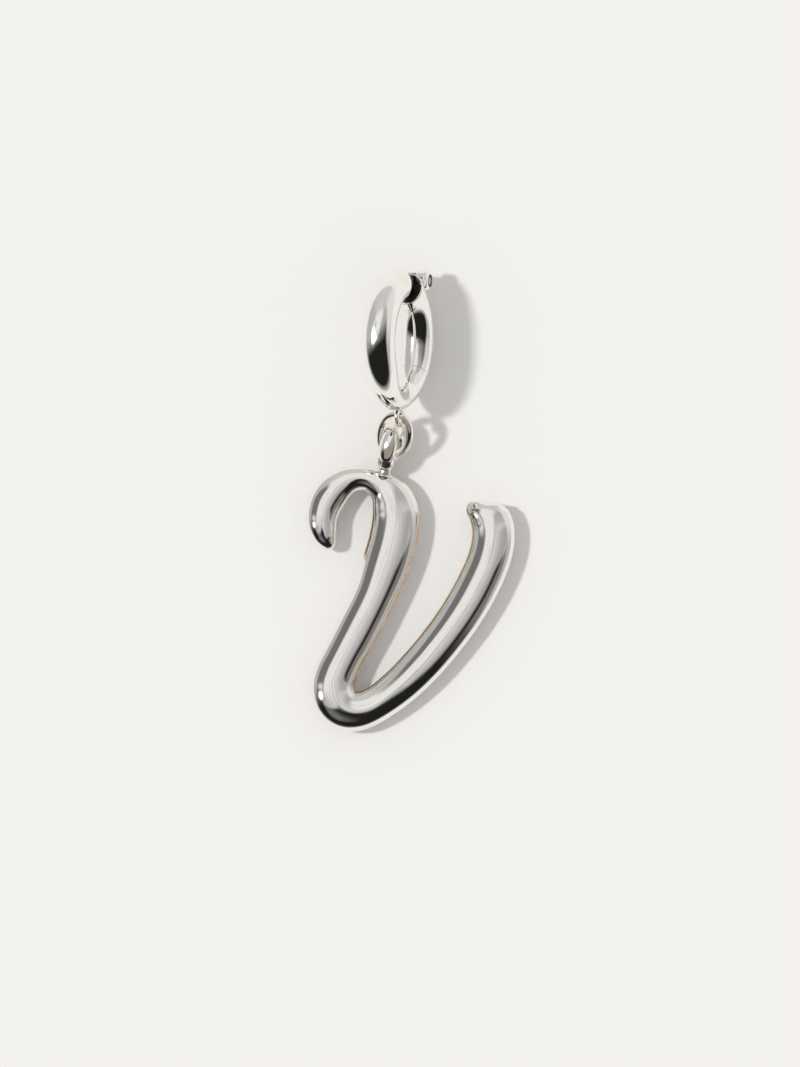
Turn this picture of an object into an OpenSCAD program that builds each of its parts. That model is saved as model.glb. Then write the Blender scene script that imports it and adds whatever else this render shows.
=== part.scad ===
/* [Letter] */
// Width of the letter across both arms
letter_w = 18.0; // [14:0.1:24]
// Height of the letter from its foot to the top of the arch
letter_h = 22.8; // [18:0.1:30]
// Width of the stroke at its widest
stroke_w = 4.15; // [3:0.05:4.3]
// Thickness of the puffed stroke above its resting plane
stroke_t = 3.1; // [2.4:0.1:3.8]

/* [Loop on the letter] */
// Thickness of the wire of the loop soldered on the arch
loop_wire = 1.2; // [0.9:0.05:1.4]
// Width of that wire, across the loop
loop_wide = 1.5; // [1.2:0.05:1.55]
// Opening of that loop
loop_hole = 2.2; // [1.8:0.05:3]
// Place of the loop along the stroke, counted in rows of the stroke table
loop_row = 9.9; // [8.5:0.1:10.5]
// How far the loop turns clockwise, seen from the front
loop_turn = 16; // [5:1:25]
// How far the loop leans over to the left
loop_lean = 9; // [4:1:12]
// Diameter of the solder collar between loop and letter
collar_d = 1.1; // [0.8:0.05:1.25]

/* [Jump ring] */
// Diameter of the jump ring's wire
ring_wire = 0.66; // [0.5:0.01:0.7]
// Outer width of the oval jump ring
ring_w = 3.35; // [3.3:0.05:3.8]
// Outer length of the oval jump ring
ring_l = 4.9; // [4.8:0.05:5.4]
// How far the jump ring turns clockwise, seen from the front
ring_turn = 15; // [11:1:18]
// How far the jump ring rolls on its long axis, its right side up
ring_roll = 14; // [10:1:18]

/* [Hoop clasp] */
// Outer diameter of the hoop
hoop_od = 12.2; // [11.5:0.1:13]
// Diameter of the hoop's round section
tube_d = 2.87; // [2.6:0.05:3]
// Share of the section that is lost at the slim bottom of the hoop
slim_share = 0.34; // [0:0.01:0.4]
// How far the hoop stands up from the surface
hoop_stand = 68.5; // [62:0.5:75]
// How far the hoop's bottom leans down towards the letter
hoop_pitch = 8; // [5:1:10]
// How far the hoop turns anticlockwise, seen from the front
hoop_turn = 1; // [0:0.5:4]
// Diameter of the wire of the small eye under the hoop
eye_wire = 0.4; // [0.35:0.01:0.5]

/* [Hinge] */
// Angle from the top of the hoop to the hinge pin
pin_angle = 39; // [37:1:42]
// How deep the pin lies under the hoop's outer edge
pin_depth = 0.12; // [0.08:0.01:0.3]
// Diameter of the hinge pin
pin_d = 0.7; // [0.5:0.05:0.8]
// Diameter of the two ears round the pin
ear_d = 1.9; // [1.7:0.05:2.2]
// Width over both ears
ears_w = 3.1; // [2.9:0.05:3.4]
// Thickness of the tongue between the ears
tongue_t = 0.95; // [0.7:0.05:1.1]
// Height of the tongue
tongue_h = 1.7; // [1.3:0.05:1.75]
// Angle at which the fixed part ends, before the top
fixed_end = -3; // [-6:1:0]
// Slant of that end: it reaches further on the outside of the hoop
end_slant = 16; // [0:1:20]
// Angle at which the gate begins, past the top
gate_start = 28; // [26:1:29]
// Angle at which gate and fixed part meet again
closing_angle = 135; // [120:1:138]
// Depth of the hollow in the end of the gate, in degrees of the hoop
hollow_deg = 5; // [3:1:6]
// Wall round that hollow
hollow_wall = 0.2; // [0.2:0.05:0.5]

/* [Clearances] */
// Gap between links that pass through each other
link_gap = 0.08; // [0.06:0.01:0.1]
// Play of the jump ring in the small eye, on the radius
eye_play = 0.2; // [0.15:0.01:0.25]
// Gap between jump ring and hoop
hoop_gap = 0.12; // [0.1:0.01:0.2]
// Gap on each side of the tongue
side_gap = 0.05; // [0.03:0.01:0.1]
// Free radius round the tongue's tip
swing_gap = 0.12; // [0.08:0.01:0.2]
// Running clearance of the pin in the gate's ears, on the radius
pin_gap = 0.03; // [0.01:0.01:0.06]
// Gap of the pin in the tongue, on the radius
tight_gap = 0.01; // [0.01:0.01:0.03]
// Gap between gate and fixed part where they close
closing_gap = 0.05; // [0.03:0.01:0.1]

/* [Hidden] */

// The stroke of the letter from the tip of its hook to the top of its right arm.
// Columns: across as a share of letter_w, up as a share of letter_h, width as a share of
// stroke_w, depth as a share of the full section, and the slant of the section in degrees.
STROKE = [
    [0.135, 0.690, 0.15, 0.20, 0],
    [0.110, 0.719, 0.36, 0.50, 0],
    [0.087, 0.750, 0.55, 0.70, 0],
    [0.077, 0.799, 0.66, 0.82, 0],
    [0.092, 0.852, 0.71, 0.86, 0],
    [0.125, 0.897, 0.71, 0.86, 0],
    [0.168, 0.930, 0.64, 0.82, 0],
    [0.214, 0.949, 0.56, 0.78, 0],
    [0.260, 0.955, 0.51, 0.76, 0],
    [0.309, 0.949, 0.55, 0.78, 0],
    [0.363, 0.925, 0.66, 0.84, 0],
    [0.400, 0.893, 0.82, 0.92, 0],
    [0.424, 0.850, 0.94, 0.98, 0],
    [0.433, 0.799, 0.99, 1.00, 0],
    [0.418, 0.717, 1.01, 1.00, 0],
    [0.385, 0.629, 1.00, 1.00, 0],
    [0.330, 0.513, 0.91, 0.98, 0],
    [0.251, 0.387, 0.90, 0.97, 0],
    [0.185, 0.289, 0.88, 0.98, 0],
    [0.144, 0.222, 0.90, 1.00, 0],
    [0.128, 0.170, 0.91, 1.00, 0],
    [0.146, 0.116, 0.93, 1.00, 0],
    [0.193, 0.083, 0.89, 0.99, 0],
    [0.260, 0.078, 0.80, 0.96, 0],
    [0.345, 0.107, 0.76, 0.93, 0],
    [0.452, 0.171, 0.80, 0.93, 0],
    [0.550, 0.247, 0.84, 0.94, 0],
    [0.639, 0.329, 0.86, 0.95, 0],
    [0.731, 0.427, 0.88, 0.97, 0],
    [0.808, 0.528, 0.90, 0.98, 0],
    [0.866, 0.626, 0.90, 0.99, 0],
    [0.893, 0.700, 0.90, 0.98, 0],
    [0.897, 0.760, 0.89, 0.96, -4],
    [0.885, 0.809, 0.87, 0.90, -12],
    [0.865, 0.837, 0.80, 0.78, -22],
    [0.849, 0.853, 0.63, 0.55, -28],
    [0.843, 0.861, 0.37, 0.25, -30]
];
ACROSS = 0;
UP = 1;
WIDE = 2;
DEEP = 3;
SLANT = 4;

// Steps from one row of the table to the next, and sides of each round section
stroke_steps = 3;
stroke_sides = 20;
tube_sides = 28;
tube_step = 5.5;
wire_sides = 12;
ring_rings = 36;
// Height of the widest line of the section, and the part of its underside that is cut flat
mid_share = 0.58;
flat_share = 0.05;
mid_z = mid_share * stroke_t;
flat_z = flat_share * stroke_t;
// Half the stretch of the hoop, in degrees from its bottom, over which it grows slim
slim_reach = 75;

// The loop on the letter
loop_r = (loop_hole + loop_wire) / 2;
loop_sink = 0.12;
loop_z = loop_r * cos(loop_lean) + norm([loop_wire * cos(loop_lean), loop_wide * sin(loop_lean)]) / 2;
loop_dir = [sin(loop_turn), cos(loop_turn), 0];
loop_foot = spine(loop_row);
foot_reach = row_value(WIDE, loop_row) * stroke_w / 2;
loop_plan = loop_foot + [loop_dir[0], loop_dir[1]] * (foot_reach + loop_r + loop_wire / 2 - loop_sink);
loop_at = [loop_plan[0], loop_plan[1], loop_z];

// The hoop: its centre stands so high that its lowest point touches the surface
tube_r = tube_d / 2;
hoop_r = hoop_od / 2 - tube_r;
hoop_z = hoop_r * sqrt(1 - pow(cos(hoop_stand) * cos(hoop_pitch), 2)) + tube_r;
eye_r = ring_wire / 2 + eye_play + eye_wire / 2;
seat_reach = hoop_od / 2 + hoop_gap + ring_wire / 2;
eye_reach = seat_reach + eye_play - link_gap;
seat_z = hoop_z - seat_reach * sin(hoop_pitch);

// The jump ring hangs between the two holes: its length and their heights give its slope
ring_half_l = (ring_l - ring_wire) / 2;
ring_half_w = (ring_w - ring_wire) / 2;
seat_in_loop = loop_hole / 2 - ring_wire / 2 - link_gap;
ring_low = loop_at - loop_dir * seat_in_loop;
ring_rise = asin((seat_z - loop_z) / (2 * ring_half_l));
ring_dir = [sin(ring_turn) * cos(ring_rise), cos(ring_turn) * cos(ring_rise), sin(ring_rise)];
ring_high = ring_low + ring_dir * 2 * ring_half_l;
seat_run = seat_reach * cos(hoop_pitch);
hoop_at = [ring_high[0] - seat_run * sin(hoop_turn), ring_high[1] + seat_run * cos(hoop_turn), hoop_z];

// The hinge, in the hoop's own plane
pin_reach = hoop_od / 2 - pin_depth;
pin_at = pin_reach * [sin(pin_angle), cos(pin_angle)];
slot_w = tongue_t + 2 * side_gap;
slot_r = tongue_h / 2 + swing_gap;
// The tongue ends inside the fixed part, a little way before its slanted end
root_back = 10;
root_at = hoop_r * [-sin(root_back), cos(root_back)];

// The whole is centred over the origin and rests on z = 0
whole_l = hoop_at[1] + hoop_od / 2;
home = [-letter_w / 2, -whole_l / 2, 0];

// A smooth curve through four neighbouring rows
function smooth4(a, b, c, d, t) = 0.5 * (2 * b + (c - a) * t + (2 * a - 5 * b + 4 * c - d) * t * t
    + (3 * b - a - 3 * c + d) * t * t * t);
function clamp_row(i) = max(0, min(len(STROKE) - 1, i));
// One column of the stroke table at any place between two rows
function row_value(col, place) = let(i = min(floor(place), len(STROKE) - 2))
    smooth4(STROKE[clamp_row(i - 1)][col], STROKE[i][col], STROKE[i + 1][col],
        STROKE[clamp_row(i + 2)][col], place - i);
function spine(place) = [letter_w * row_value(ACROSS, place), letter_h * row_value(UP, place)];
function spine_way(place) = let(step = 0.05, a = max(0, place - step),
    b = min(len(STROKE) - 1, place + step), d = spine(b) - spine(a)) atan2(d[1], d[0]);

// One section of the stroke: a dome above, a round underside that is cut flat later
function stroke_ring(place) = let(c = spine(place), way = spine_way(place) - 90
    + row_value(SLANT, place), half = stroke_w * row_value(WIDE, place) / 2,
    deep = row_value(DEEP, place))
    [for (k = [0:stroke_sides - 1]) let(a = 360 * k / stroke_sides,
        high = sin(a) > 0 ? stroke_t - mid_z : mid_z + flat_z)
        [c[0] + half * cos(a) * cos(way), c[1] + half * cos(a) * sin(way),
            mid_z + deep * high * sin(a)]];

// One section of the hoop at an angle from its top
function slim(angle) = abs(angle - 180) < slim_reach
    ? 1 - slim_share * pow(cos(90 * (angle - 180) / slim_reach), 2) : 1;
function hoop_ring(angle) = let(r = tube_r * slim(angle), reach = hoop_od / 2 - r)
    [for (k = [0:tube_sides - 1]) let(a = 360 * k / tube_sides, out = reach + r * cos(a))
        [out * sin(angle), out * cos(angle), -r * sin(a)]];

// One section of a round or oval ring; wide is the width of its wire across the ring's plane
function wire_section(angle, half_w, half_l, wire, wide) =
    let(way = atan2(half_w * cos(angle), half_l * sin(angle)))
    [for (k = [0:wire_sides - 1]) let(a = 360 * k / wire_sides, out = wire * cos(a) / 2)
        [half_w * sin(angle) + out * cos(way), half_l * cos(angle) + out * sin(way),
            wide * sin(a) / 2]];

// A skin over a row of sections, closed at both ends
module skin(rings) {
    n = len(rings[0]);
    m = len(rings);
    sides = [for (j = [0:m - 2], k = [0:n - 1], half = [0, 1]) let(a = j * n + k,
        b = j * n + (k + 1) % n) half == 0 ? [a, b, b + n] : [a, b + n, a + n]];
    ends = [[for (k = [n - 1:-1:0]) k], [for (k = [0:n - 1]) (m - 1) * n + k]];
    polyhedron([for (ring = rings) each ring], concat(sides, ends), convexity = 8);
}

// A skin whose last section joins its first
module closed_skin(rings) {
    n = len(rings[0]);
    m = len(rings);
    polyhedron([for (ring = rings) each ring], [for (j = [0:m - 1], k = [0:n - 1], half = [0, 1])
        let(a = j * n + k, b = j * n + (k + 1) % n, c = ((j + 1) % m) * n + k,
            d = ((j + 1) % m) * n + (k + 1) % n) half == 0 ? [a, b, d] : [a, d, c]],
        convexity = 8);
}

module wire_ring(half_w, half_l, wire, wide) {
    closed_skin([for (j = [0:ring_rings - 1])
        wire_section(-360 * j / ring_rings, half_w, half_l, wire, wide)]);
}

// Puts the hoop's own plane in its place: y points to its top, x to its far side
module on_hoop() {
    translate(home + hoop_at) rotate([0, 0, hoop_turn]) rotate([hoop_pitch, 0, 0])
        rotate([0, hoop_stand, 0]) children();
}

module hoop_arc(from, to) {
    steps = ceil((to - from) / tube_step);
    skin([for (j = [0:steps]) hoop_ring(from + (to - from) * j / steps)]);
}

module stroke() {
    rows = len(STROKE) - 1;
    skin([for (j = [0:rows * stroke_steps]) stroke_ring(j / stroke_steps)]);
}

module letter() {
    resting = [2 * letter_w, 2 * letter_h, stroke_t];
    color("gainsboro") {
        difference() {
            translate(home) stroke();
            translate(home + [-letter_w / 2, -letter_h / 2, -stroke_t]) cube(resting);
        }
        translate(home + loop_at) rotate([0, 0, -loop_turn]) {
            rotate([0, 90 - loop_lean, 0]) wire_ring(loop_r, loop_r, loop_wire, loop_wide);
            translate([0, -loop_r, 0]) rotate([90, 0, 0])
                cylinder(d = collar_d, h = loop_wire / 2 + foot_reach, $fn = 32);
        }
    }
}

module jump_ring() {
    color("silver") translate(home + (ring_low + ring_high) / 2) rotate([0, 0, -ring_turn])
        rotate([ring_rise, 0, 0]) rotate([0, -ring_roll, 0])
        wire_ring(ring_half_w, ring_half_l, ring_wire, ring_wire);
}

// The plate from the fixed part to the pin
module tongue() {
    way = root_at - pin_at;
    translate([pin_at[0], pin_at[1], -tongue_t / 2]) {
        cylinder(d = tongue_h, h = tongue_t, $fn = 48);
        rotate([0, 0, atan2(way[1], way[0])]) translate([0, -tongue_h / 2, 0])
            cube([norm(way), tongue_h, tongue_t]);
    }
}

// The space past the slanted end of the fixed part
module past_the_end() {
    past = [2 * tube_d, 4 * tube_d, 2 * tube_d];
    rotate([0, 0, -fixed_end]) translate([0, hoop_r, -tube_d]) rotate([0, 0, -end_slant])
        translate([0, -past[1] / 2, 0]) cube(past);
}

module pin_hole(gap) {
    translate([pin_at[0], pin_at[1], -ears_w])
        cylinder(d = pin_d + 2 * gap, h = 2 * ears_w, $fn = 32);
}

module clasp_body() {
    color("gainsboro") on_hoop() {
        difference() {
            hoop_arc(closing_angle, 360 + fixed_end + end_slant);
            past_the_end();
        }
        difference() {
            tongue();
            pin_hole(tight_gap);
        }
        translate([0, -eye_reach, 0]) rotate_extrude($fn = 64) translate([eye_r, 0])
            circle(d = eye_wire, $fn = 32);
    }
}

// The space that the tongue sweeps inside the gate
module tongue_slot() {
    translate([pin_at[0], pin_at[1], -slot_w / 2]) {
        cylinder(r = slot_r, h = slot_w, $fn = 48);
        translate([-hoop_r, -slot_r, 0]) cube([hoop_r, hoop_r, slot_w]);
        cube([slot_r, hoop_r, slot_w]);
    }
}

module clasp_gate() {
    closing = closing_gap / hoop_r * 180 / PI;
    color("silver") on_hoop() difference() {
        union() {
            hoop_arc(gate_start, closing_angle - closing);
            translate([pin_at[0], pin_at[1], -ears_w / 2])
                cylinder(d = ear_d, h = ears_w, $fn = 64);
        }
        tongue_slot();
        pin_hole(pin_gap);
        rotate([0, 0, 90 - gate_start - hollow_deg]) rotate_extrude(angle = 2 * hollow_deg, $fn = 64)
            translate([hoop_r, 0]) circle(r = tube_r - hollow_wall, $fn = 32);
    }
}

module hinge_pin() {
    length = ears_w - 2 * side_gap;
    color("gray") on_hoop() translate([pin_at[0], pin_at[1], -length / 2])
        cylinder(d = pin_d, h = length, $fn = 32);
}

letter();
jump_ring();
clasp_body();
clasp_gate();
hinge_pin();
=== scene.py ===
import math
import bmesh
import bpy
import numpy as np
from mathutils import Matrix, Vector


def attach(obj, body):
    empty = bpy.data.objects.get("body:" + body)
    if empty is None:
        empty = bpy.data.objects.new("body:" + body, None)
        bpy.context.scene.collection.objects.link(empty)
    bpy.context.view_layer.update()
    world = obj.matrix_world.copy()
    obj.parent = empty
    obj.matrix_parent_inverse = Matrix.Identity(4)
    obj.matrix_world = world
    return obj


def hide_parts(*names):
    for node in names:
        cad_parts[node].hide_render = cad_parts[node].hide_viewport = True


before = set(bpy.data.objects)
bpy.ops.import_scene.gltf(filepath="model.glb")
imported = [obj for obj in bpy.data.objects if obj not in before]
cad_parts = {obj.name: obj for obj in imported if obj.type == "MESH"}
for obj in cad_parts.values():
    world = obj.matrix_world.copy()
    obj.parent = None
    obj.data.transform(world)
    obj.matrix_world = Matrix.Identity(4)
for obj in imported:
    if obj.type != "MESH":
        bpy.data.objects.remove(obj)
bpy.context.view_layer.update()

MM = 0.001

# The letter, in millimetres. The last two are shares of the stroke's depth: the height of its widest
# line, and what is cut off flat below
LETTER_W = 18.0
LETTER_H = 22.8
STROKE_W = 4.15
STROKE_T = 3.1
MID_SHARE = 0.58
FLAT_SHARE = 0.05

# The loop soldered on the letter: a wire deeper than it is thick, on a row of the stroke
LOOP_WIRE = 1.2
LOOP_WIDE = 1.5
LOOP_HOLE = 2.2
LOOP_ROW = 9.9
LOOP_TURN = 16.0
LOOP_LEAN = 9.0
LOOP_SINK = 0.12
# A painted dark reflection on it, in steps along its wire and sides of the wire
LOOP_REFLECTION_STEPS = range(58, 66)
LOOP_REFLECTION_SIDES = 6

# Its collar runs from inside the loop's wire into the stroke; both ends are given past the loop's
# outer edge
COLLAR_D = 1.1
COLLAR_START = -0.35
COLLAR_END = 0.84
# Its roundings: how far the centre of each lies inside the collar and past the loop's outer edge, its
# radius, where it starts and ends in degrees, and its steps
COLLAR_ROUNDS = (
    (0.06, -0.29, 0.06, -90, 0, 3),
    (0.08, 0.16, 0.08, 0, 60, 3),
    (0.02, 0.40, 0.10, -60, 60, 5),
    (0.14, 0.72, 0.12, 0, 90, 6),
)

# The oval jump ring
RING_WIRE = 0.66
RING_W = 3.35
RING_L = 4.9
RING_TURN = 15.0
RING_ROLL = 14.0

# The hoop clasp: its tube is slimmer towards the eye, and the whole leans and turns in degrees
HOOP_OD = 12.2
TUBE_D = 2.87
SLIM_SHARE = 0.34
SLIM_REACH = 75.0
HOOP_STAND = 68.5
HOOP_PITCH = 8.0
HOOP_TURN = 1.0
# The eye under it, and the play between eye, ring and loop
EYE_WIRE = 0.4
EYE_PLAY = 0.2
LINK_GAP = 0.08
HOOP_GAP = 0.12
# The rims of its ends: rounded at the hinge, crisp where the gate closes
HINGE_LIP = 0.1
CLOSING_LIP = 0.02
# How far, in degrees, the slant of its closed end at the hinge runs out along the tube
SLANT_FADE = 25.0

# Its hinge, with places on the hoop in degrees from the top
PIN_ANGLE = 39.0
PIN_DEPTH = 0.12
PIN_D = 0.7
PIN_RIM = 0.05
PIN_GAP = 0.03
SIDE_GAP = 0.05
EAR_D = 1.9
EARS_W = 3.1
# The ears' inner rim, their domed outside, the ease of their bore and its countersink
EAR_RIM = 0.1
EAR_DOME = 0.36
BORE_EASE = 0.03
SINK = 0.18
SINK_TAPER = 0.8
# The tongue between them is worn a little slimmer than its plain plate
TONGUE_T = 0.95
TONGUE_H = 1.7
TONGUE_EASE = 0.2
TONGUE_RIM = 0.1
ROOT_BACK = 10.0
# The ends of the fixed part and of the gate
FIXED_END = -3.0
END_SLANT = 16.0
GATE_START = 28.0
CLOSING_ANGLE = 135.0
# The closing gap, and the share of it that stays open while the spring holds the gate shut
CLOSING_GAP = 0.05
SEAM_SHARE = 0.2
# The hollow end of the gate, with depths in degrees: its wall, thinner at the mouth's edge, and its
# floor, deeper towards the middle
HOLLOW_WALL = 0.13
MOUTH_SHARE = 0.9
MOUTH_DEG = 0.6
HOLLOW_DEG = 5.0
HOLLOW_DISH = 1.0
HOLLOW_MIDDLE = 1.2

# How fine the meshes are: steps along a piece and sides round it
STROKE_STEPS = 16
STROKE_SIDES = 80
WIRE_STEPS = 160
WIRE_SIDES = 36
EYE_STEPS = 96
EYE_SIDES = 24
HOOP_STEP_DEG = 1.5
HOOP_SIDES = 84
LIP_STEPS = 6
ARC_STEPS = 6
DOME_STEPS = 12
RIM_STEPS = 4
TONGUE_STEPS = 8
TONGUE_ROUND = 25
EAR_SIDES = 64
LATHE_SIDES = 40
# A lathed piece closes with a small flat face of this radius on its axis
AXIS_R = 0.02
# Edges sharper than this, in degrees, stay crisp
CRISP = 50
PIN_CRISP = 40

# How the stroke is smoothed. Its table first, with a push back that keeps its bends
SETTLE_ROUNDS = 60
SETTLE_PULLS = (0.5, -0.52)
# The last stretch at each end, in rows, over which it rounds off, and the shares of its width and of
# its depth that stay at the tip
TIP_ROWS = 0.3
TIP_LEAST = 0.04
TIP_DEPTH = 0.35
# The least way, in millimetres, from one section to the next
LEAST_STEP = 0.004
UNFOLD_ROUNDS = 400
# How many sections after a fold are drawn in with it
UNFOLD_AFTER = 3
# The inside of the foot's bend: its row, its reach in rows, how far round the section it reaches
CROTCH_ROW = 20.9
CROTCH_ROWS = 3.2
CROTCH_SIDE = 0.35
CROTCH_ROUNDS = 120
# The same at both ends
END_ROWS = 2.2
END_PULL = 0.8
END_ROUNDS = 14

# The stroke from the tip of its hook to the top of its right arm: across and up as shares of
# the letter, width and depth as shares of the full section, slant of the section in degrees
ACROSS, UP, WIDE, DEEP, SLANT = range(5)
STROKE = np.array((
    (0.133, 0.689, 0.20, 0.30, 0),
    (0.105, 0.716, 0.43, 0.67, 0),
    (0.086, 0.750, 0.57, 0.80, 0),
    (0.077, 0.799, 0.66, 0.85, 0),
    (0.092, 0.852, 0.71, 0.86, 0),
    (0.125, 0.897, 0.71, 0.86, 0),
    (0.168, 0.930, 0.64, 0.82, 0),
    (0.214, 0.949, 0.56, 0.78, 0),
    (0.260, 0.955, 0.51, 0.76, 0),
    (0.309, 0.949, 0.55, 0.78, 0),
    (0.363, 0.925, 0.66, 0.84, 0),
    (0.400, 0.893, 0.82, 0.92, 0),
    (0.424, 0.850, 0.94, 0.98, 0),
    (0.433, 0.799, 0.99, 1.00, 0),
    (0.418, 0.717, 1.01, 1.00, 0),
    (0.385, 0.629, 1.00, 1.00, 0),
    (0.330, 0.513, 0.91, 0.98, 0),
    (0.251, 0.387, 0.90, 0.97, 0),
    (0.185, 0.289, 0.88, 0.98, 0),
    (0.144, 0.222, 0.90, 1.00, 0),
    (0.128, 0.170, 0.91, 1.00, 0),
    (0.146, 0.116, 0.93, 1.00, 0),
    (0.193, 0.083, 0.89, 0.99, 0),
    (0.260, 0.078, 0.80, 0.96, 0),
    (0.345, 0.107, 0.76, 0.93, 0),
    (0.452, 0.171, 0.80, 0.93, 0),
    (0.550, 0.247, 0.84, 0.94, 0),
    (0.639, 0.329, 0.86, 0.95, 0),
    (0.731, 0.427, 0.88, 0.97, 0),
    (0.808, 0.528, 0.90, 0.98, 0),
    (0.866, 0.626, 0.90, 0.99, 0),
    (0.893, 0.700, 0.90, 0.98, 0),
    (0.897, 0.760, 0.89, 0.96, -5),
    (0.884, 0.805, 0.88, 0.90, -18),
    (0.862, 0.838, 0.82, 0.78, -27),
    (0.848, 0.856, 0.63, 0.56, -26),
    (0.844, 0.867, 0.30, 0.27, -18),
))
ROWS = len(STROKE)

# The letter's polish. Its lines are noise, stretched along the stroke: scale along it and across it
LINE_SCALE = (0.5, 95, 1)
HAIR_SCALE = (0.8, 260, 1)
WAVE_SCALE = 420.0
CLOUD_SCALE = 900.0
LINE_DETAIL, HAIR_DETAIL, WAVE_DETAIL, CLOUD_DETAIL = 3.0, 2.0, 1.0, 4.0
LINE_RELIEF, WAVE_RELIEF, HAIR_RELIEF = 0.6, 1.0, 0.25
# The strength of its bump, and its height in metres
LETTER_BUMP, LETTER_BUMP_HIGH = 0.07, 0.00005
LETTER_ROUGH = 0.04
LETTER_SILVER = (0.955, 0.94, 0.91, 1)
WARM_SILVER = (0.93, 0.90, 0.85, 1)
BUFFED_GREY = (0.74, 0.71, 0.67, 1)
PAINTED_WARM_REFLECTION = (0.56, 0.38, 0.21, 1)
LINE_GREY = (0.52, 0.50, 0.46, 1)
# Where a noise begins to show in the finish and where it shows in full, and the most or the least that it
# gives:
# rougher, warmer and buffed spots, patches in the painted warm reflections and breaks in the painted
# crest line
DULL_CLOUD, DULL_MOST = (0.35, 0.75), 0.05
WARM_CLOUD, WARM_MOST = (0.45, 0.8), 0.5
BUFFED_LINE, BUFFED_LINE_MOST = (0.52, 0.72), 0.55
BUFFED_HAIR, BUFFED_HAIR_MOST = (0.5, 0.75), 0.3
PATCHY_CLOUD, PATCHY_LEAST = (0.3, 0.6), 0.72
BROKEN_WAVE, BROKEN_LEAST = (0.4, 0.6), 0.35
RIDGE_WAVE = (0.42, 0.62)
CREST_MOST, RIDGE_MOST = 0.75, 0.6
# Painted warm reflections along its edges, a painted reflection line along its crest and a thin grey line
# just off it. Round the section, as shares from its right edge over the top: from, to, softness. Along
# the stroke, in rows: the same, or where it starts and ends
GOLD_LEFT = (0.432, 0.476, 0.007)
GOLD_LEFT_ROWS = (12.6, 35.4, 0.6)
GOLD_RIGHT = (0.018, 0.070, 0.007)
GOLD_RIGHT_START = (11.8, 12.6)
GOLD_RIGHT_END = (14.85, 15.05)
CREST_LINE = (0.2435, 0.2475, 0.0015)
CREST_ROWS = (10.5, 33, 1.5)
RIDGE_LINE = (0.2270, 0.2300, 0.0015)
RIDGE_ROWS = (9, 21, 1)

# The other polishes: the strength of their bump and its height in metres, clouds of tarnish to a dent,
# what the tarnish leaves of the colour, and how the clouds show
DENT_BUMP, DENT_HIGH = 0.08, 0.00008
CLOUDS_PER_DENT = 2.3
DENT_DETAIL, TARNISH_DETAIL = 2.0, 3.0
TARNISH = (0.93, 0.88, 0.80)
TARNISH_CLOUD, TARNISH_MOST = (0.5, 0.85), 0.6
ROUGH_CLOUD, ROUGH_MOST = (0.35, 0.8), 0.06

# The camera looks straight down from a long way off, in millimetres, with its clipping in metres
PHOTO_H = 1067
PX_PER_MM = 11.625
CAMERA_AT = (-0.86, -2.84)
CAMERA_FAR = 900.0
SENSOR = 36
CLIP_NEAR, CLIP_FAR = 0.01, 10

# The pale surface, in metres, and its two tones
FLOOR_HALF = 2
FLOOR_GRAIN = 4000.0
GRAIN_DETAIL = 2.0
PAPER_ROUGH = 0.9
PALE = (0.898, 0.886, 0.866, 1)
PALER = (0.902, 0.890, 0.870, 1)

# The key light comes from the left, as a soft sun so many degrees wide
KEY_FROM = (-0.65, 0.1, 1)
KEY_SUN = 1.5
KEY_SOFT = 5

# The surroundings, by side and lean. Side is the angle round from -y, with 90 to the right and -90 to
# the left, and lean is the angle away from the zenith. A soft edge goes from one angle to another, and
# a span has its two ends and their softness. First the levels of light
OVERHEAD = 0.82
WALLS_LESS = 0.35
LOW_MORE = 0.1
BACK_MORE = 0.12
RIGHT_HIGH = 0.42
RIGHT_LOW_MORE = 0.33
STRIPE = 0.17
BLACK = 0.014
FLOOR_FILL = 0.62
PALE_TINT = (1, 0.99, 0.975)
# The walls and what lies low
WALL_EDGE = (38, 52)
LOW_EDGE = (84, 94)
BACK_EDGE = (40, 50)
BACK_RIGHT = (150, 215, 20)
BACK_LEFT = (-215, -145, 16)
RIGHT_SPAN = (92, 150, 14)
RIGHT_WALL_EDGE = (50, 62)
# The darker stripe on the left, whose foot drops towards the front
STRIPE_SPAN = (-140, -62, 8)
STRIPE_TOP = (27, 34)
STRIPE_FOOT = (43, 52)
STRIPE_DROP = 19
STRIPE_DROP_SIDE = (-140, -112)
# The dark side: the side of its middle, its edge over the zenith, and its end above the floor, which is
# higher on the right
DARK_SIDE = 14.0
DARK_EDGE = (-0.30, 0.22)
DARK_FOOT = (76, 90)
DARK_RISE = 27
DARK_RISE_SIDE = (52, 92)

# What only the letter mirrors. A grey over it: its level, what it loses lower down, and the lean where
# it ends in front, with what that gains from one side to another
GREY = 0.62
GREY_LESS = 0.24
GREY_LESS_LEAN = (2, 36)
GREY_END = 3
GREY_SOFT = (-6, 8)
GREY_GAINS = ((8, 26, 6), (25, 50, 25), (66, 82, 22))
GREY_LEFT_GAIN = 46
GREY_LEFT = (-72, -22)
GREY_RIGHT_END = (104, 136)
# A pale tone past the zenith, and a faint sheen on the black
CROWN = 0.78
CROWN_EDGE = (-0.06, 0.08)
SHEEN = 0.17
SHEEN_SPAN = (-64, -6, 26)
SHEEN_LEAN = (28, 52, 14)
# Taupe below the black, and paler still low on the stem's side
TAUPE = 0.19
TAUPE_SPAN = (53, 84, 6)
TAUPE_EDGE = (44, 54)
TAUPE_MORE = 0.25
TAUPE_MORE_SIDE = (56, 64)
TAUPE_MORE_LEAN = (66, 74)
# How a bright spot fades, in its own half widths
GLARE_EDGE = (0.1, 2.2)


def sin(degrees):
    return math.sin(math.radians(degrees))


def cos(degrees):
    return math.cos(math.radians(degrees))


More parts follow.
